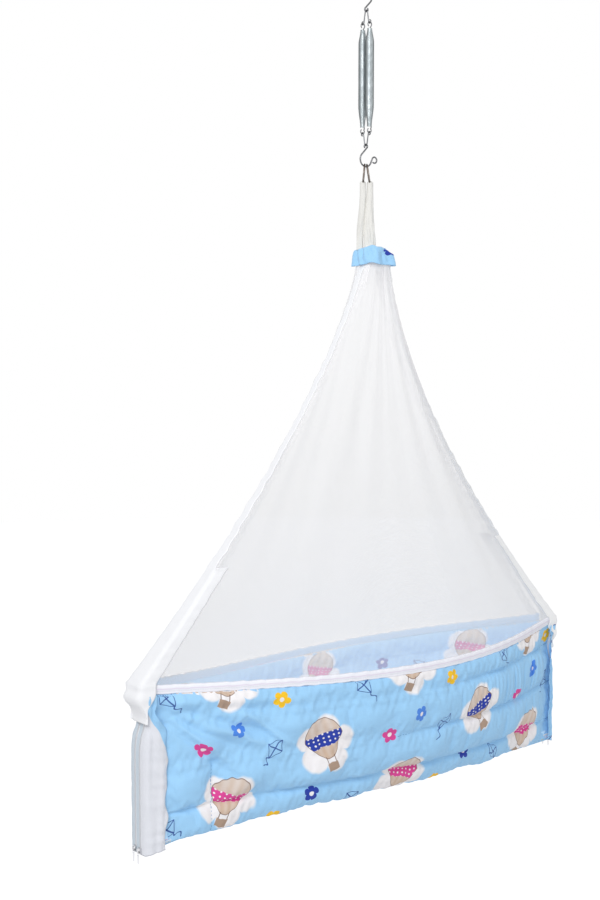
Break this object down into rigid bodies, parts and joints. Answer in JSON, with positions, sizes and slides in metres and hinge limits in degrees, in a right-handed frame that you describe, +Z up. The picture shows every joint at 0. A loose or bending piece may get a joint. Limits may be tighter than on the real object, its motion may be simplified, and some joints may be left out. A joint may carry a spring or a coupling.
{
  "type": "hanging baby cradle",
  "caption": "Hanging cloth cradle with a netted tent, zipped ends, a padded bed, extension springs and hooks for a ceiling point.",
  "frame": {"origin": "seat of the top hook, inside its bend, where it rests on what holds the cradle up", "axes": "+Z up along the springs, +X along the bed, -Y towards the bed's front side"},
  "size_m": [0.9248, 0.2368, 1.3915],
  "materials": {
    "hook_steel": "bright drawn steel wire",
    "spring_steel": "blue grey spring wire",
    "ring_steel": "dull, slightly browned steel",
    "white_cloth": "white cotton tape and strap",
    "net_cloth": "sheer white mosquito net",
    "printed_cloth": "light blue printed cotton, quilted over foam",
    "pad_cloth": "light blue cotton over a foam pad",
    "zip_metal": "plated zinc",
    "zip_tape": "woven zip tape with coil teeth"
  },
  "bodies": {
    "hanger": {"top_s_hook": "hook_steel"},
    "suspension": {"upper_yoke": "hook_steel", "front_spring": "spring_steel", "back_spring": "spring_steel"},
    "spring_foot": {"lower_yoke": "hook_steel"},
    "lower_hook": {"lower_s_hook": "hook_steel"},
    "cradle": {"left_ring": "ring_steel", "right_ring": "ring_steel", "left_strap": "white_cloth", "right_strap": "white_cloth", "collar": "printed_cloth", "front_net": "net_cloth", "back_net": "net_cloth", "left_net_band": "white_cloth", "right_net_band": "white_cloth", "left_corner_facing": "white_cloth", "right_corner_facing": "white_cloth", "front_rim_binding": "white_cloth", "back_rim_binding": "white_cloth", "front_wall": "printed_cloth", "back_wall": "printed_cloth", "base_panel": "printed_cloth", "mattress_pad": "pad_cloth", "left_zip_band": "white_cloth", "right_zip_band": "white_cloth", "left_front_zip_chain": "zip_tape", "left_back_zip_chain": "zip_tape", "right_front_zip_chain": "zip_tape", "right_back_zip_chain": "zip_tape"},
    "left_front_slider": {"left_front_zip_slider": "zip_metal"},
    "left_front_pull": {"left_front_zip_pull": "zip_metal"},
    "left_back_slider": {"left_back_zip_slider": "zip_metal"},
    "left_back_pull": {"left_back_zip_pull": "zip_metal"},
    "right_front_slider": {"right_front_zip_slider": "zip_metal"},
    "right_front_pull": {"right_front_zip_pull": "zip_metal"},
    "right_back_slider": {"right_back_zip_slider": "zip_metal"},
    "right_back_pull": {"right_back_zip_pull": "zip_metal"}
  },
  "joints": [
    {"name": "end_swing", "type": "hinge", "parent": "hanger", "child": "suspension", "pos_m": [0, 0, -0.03316], "axis": [0, 1, 0], "range_deg": [-20, 20]},
    {"name": "spring_stretch", "type": "slide", "parent": "suspension", "child": "spring_foot", "axis": [0, 0, -1], "range_m": [0, 0.12], "stiffness_N_per_m": 500, "springref_m": -0.08, "deforming": ["front_spring", "back_spring"]},
    {"name": "hook_turn", "type": "hinge", "parent": "spring_foot", "child": "lower_hook", "pos_m": [0, 0, -0.25677], "axis": [0, 1, 0], "range_deg": [-20, 20]},
    {"name": "side_rock", "type": "hinge", "parent": "lower_hook", "child": "cradle", "pos_m": [0, 0, -0.29123], "axis": [1, 0, 0], "range_deg": [-25, 25]},
    {"name": "left_front_zip", "type": "slide", "parent": "cradle", "child": "left_front_slider", "axis": [0, 0, 1], "range_m": [0, 0.17]},
    {"name": "left_back_zip", "type": "slide", "parent": "cradle", "child": "left_back_slider", "axis": [0, 0, 1], "range_m": [0, 0.17]},
    {"name": "right_front_zip", "type": "slide", "parent": "cradle", "child": "right_front_slider", "axis": [0, 0, 1], "range_m": [0, 0.15]},
    {"name": "right_back_zip", "type": "slide", "parent": "cradle", "child": "right_back_slider", "axis": [0, 0, 1], "range_m": [0, 0.15]},
    {"name": "left_front_pull_lift", "type": "hinge", "parent": "left_front_slider", "child": "left_front_pull", "pos_m": [-0.4572, -0.007, -1.36967], "axis": [0, 1, 0], "range_deg": [0, 150]},
    {"name": "left_back_pull_lift", "type": "hinge", "parent": "left_back_slider", "child": "left_back_pull", "pos_m": [-0.4572, 0.007, -1.36967], "axis": [0, 1, 0], "range_deg": [0, 150]},
    {"name": "right_front_pull_lift", "type": "hinge", "parent": "right_front_slider", "child": "right_front_pull", "pos_m": [0.4572, -0.007, -1.34567], "axis": [0, -1, 0], "range_deg": [0, 150]},
    {"name": "right_back_pull_lift", "type": "hinge", "parent": "right_back_slider", "child": "right_back_pull", "pos_m": [0.4572, 0.007, -1.34567], "axis": [0, -1, 0], "range_deg": [0, 150]}
  ]
}
